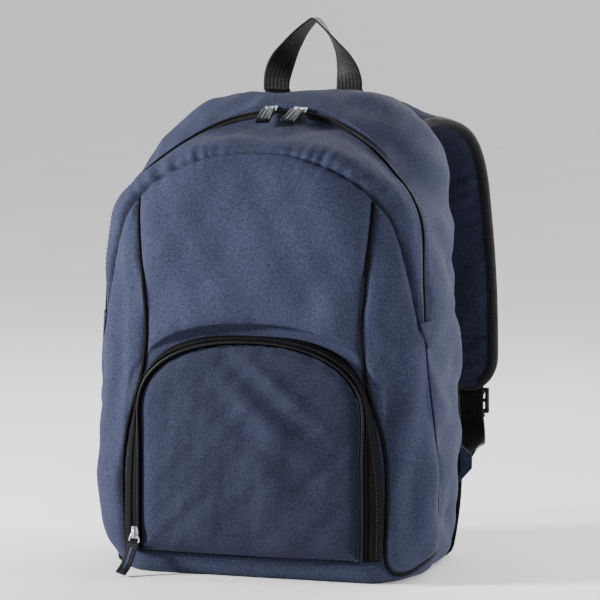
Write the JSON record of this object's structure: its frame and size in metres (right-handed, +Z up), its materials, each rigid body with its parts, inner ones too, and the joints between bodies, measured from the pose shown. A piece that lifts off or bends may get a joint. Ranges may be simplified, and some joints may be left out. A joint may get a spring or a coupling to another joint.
{
  "type": "school backpack",
  "caption": "Arched zip-top school backpack with a zipped front pocket, webbing carry loop and padded shoulder straps.",
  "frame": {"origin": "middle of the base, on the face it rests on", "axes": "+Z up, front pocket faces -Y, shoulder straps on +Y, +X to the right seen from the front"},
  "size_m": [0.3216, 0.2822, 0.4906],
  "materials": {
    "body_fabric": "woven 600D polyester, denim navy",
    "zip_tape": "black knitted tape and fabric",
    "zip_coil": "black nylon coil",
    "piping": "black bound cord",
    "black_webbing": "black ribbed webbing",
    "strap_binding": "black grosgrain",
    "slider_metal": "bright nickel",
    "puller_tab": "black glossy moulded tab with a blue line",
    "buckle_plastic": "black acetal",
    "foam": "open foam",
    "stiffener_board": "board"
  },
  "bodies": {
    "bag": {"back_panel": "body_fabric", "back_foam": "foam", "rear_gusset": "body_fabric", "rear_seam_binding": "piping", "base_panel": "body_fabric", "base_stiffener": "stiffener_board", "front_base_strip": "body_fabric", "front_lower_panel": "body_fabric", "left_wing_lower": "body_fabric", "right_wing_lower": "body_fabric", "left_piping_lower": "piping", "right_piping_lower": "piping", "pocket_zip_surround": "zip_tape", "pocket_zip_coil": "zip_coil", "main_zip_tape_rear": "zip_tape", "main_zip_coil_rear": "zip_coil", "left_zip_end_patch": "body_fabric", "right_zip_end_patch": "body_fabric", "left_strap_tab": "body_fabric", "right_strap_tab": "body_fabric", "left_strap_yoke": "body_fabric", "right_strap_yoke": "body_fabric", "handle_feet": "black_webbing", "front_fold_band": "body_fabric"},
    "lid": {"front_upper_panel": "body_fabric", "front_gusset": "body_fabric", "left_wing_upper": "body_fabric", "right_wing_upper": "body_fabric", "left_piping_upper": "piping", "right_piping_upper": "piping", "main_zip_tape_front": "zip_tape", "main_zip_coil_front": "zip_coil"},
    "pocket_flap": {"pocket_panel": "body_fabric", "pocket_zip_tape": "body_fabric"},
    "left_slider": {"left_main_slider": "slider_metal"},
    "right_slider": {"right_main_slider": "slider_metal"},
    "left_puller": {"left_main_puller_link": "slider_metal", "left_main_puller": "puller_tab"},
    "right_puller": {"right_main_puller_link": "slider_metal", "right_main_puller": "puller_tab"},
    "pocket_slider": {"pocket_slider": "slider_metal"},
    "pocket_pull": {"pocket_ring": "slider_metal", "pocket_puller": "black_webbing"},
    "handle": {"handle_loop": "black_webbing"},
    "left_strap": {"left_strap_pad": "body_fabric", "left_strap_binding": "strap_binding", "left_keeper_webbing": "black_webbing", "left_ladder_lock": "buckle_plastic", "left_lower_webbing": "black_webbing"},
    "right_strap": {"right_strap_pad": "body_fabric", "right_strap_binding": "strap_binding", "right_keeper_webbing": "black_webbing", "right_ladder_lock": "buckle_plastic", "right_lower_webbing": "black_webbing"}
  },
  "joints": [
    {"name": "lid_fold", "type": "hinge", "parent": "bag", "child": "lid", "pos_m": [0, -0.045, 0.23], "axis": [1, 0, 0], "range_deg": [0, 45], "deforming": ["front_fold_band"]},
    {"name": "pocket_open", "type": "hinge", "parent": "bag", "child": "pocket_flap", "pos_m": [0, -0.088, 0.022], "axis": [1, 0, 0], "range_deg": [0, 90]},
    {"name": "left_slider_travel", "type": "hinge", "parent": "lid", "child": "left_slider", "pos_m": [0, -0.0774, 0.2837], "axis": [0, -0.8221, 0.5693], "range_deg": [0, 38]},
    {"name": "right_slider_travel", "type": "hinge", "parent": "lid", "child": "right_slider", "pos_m": [0, -0.0774, 0.2837], "axis": [0, 0.8221, -0.5693], "range_deg": [0, 35]},
    {"name": "left_puller_flip", "type": "hinge", "parent": "left_slider", "child": "left_puller", "pos_m": [-0.01062, 0.00496, 0.41134], "axis": [-0.9976, -0.0397, -0.0574], "range_deg": [0, 120]},
    {"name": "right_puller_flip", "type": "hinge", "parent": "right_slider", "child": "right_puller", "pos_m": [0.01723, 0.00462, 0.41084], "axis": [-0.9936, 0.0644, 0.0931], "range_deg": [0, 120]},
    {"name": "pocket_slider_travel", "type": "slide", "parent": "bag", "child": "pocket_slider", "axis": [0, 0, 1], "range_m": [0, 0.105]},
    {"name": "pocket_pull_swing", "type": "hinge", "parent": "pocket_slider", "child": "pocket_pull", "pos_m": [-0.1056, -0.0912, 0.0365], "axis": [-1, 0, 0], "range_deg": [0, 100]},
    {"name": "handle_flop", "type": "hinge", "parent": "bag", "child": "handle", "pos_m": [0, 0.0962, 0.425], "axis": [1, 0, 0], "range_deg": [-60, 60]},
    {"name": "right_strap_swing", "type": "hinge", "parent": "bag", "child": "right_strap", "pos_m": [0.088, 0.095, 0.404], "axis": [0.2027, -0.0041, -0.9792], "range_deg": [-12, 20], "deforming": ["right_strap_yoke"]},
    {"name": "left_strap_swing", "type": "hinge", "parent": "bag", "child": "left_strap", "pos_m": [-0.088, 0.095, 0.404], "axis": [0.2027, 0.0041, 0.9792], "range_deg": [-12, 20], "deforming": ["left_strap_yoke"]}
  ]
}
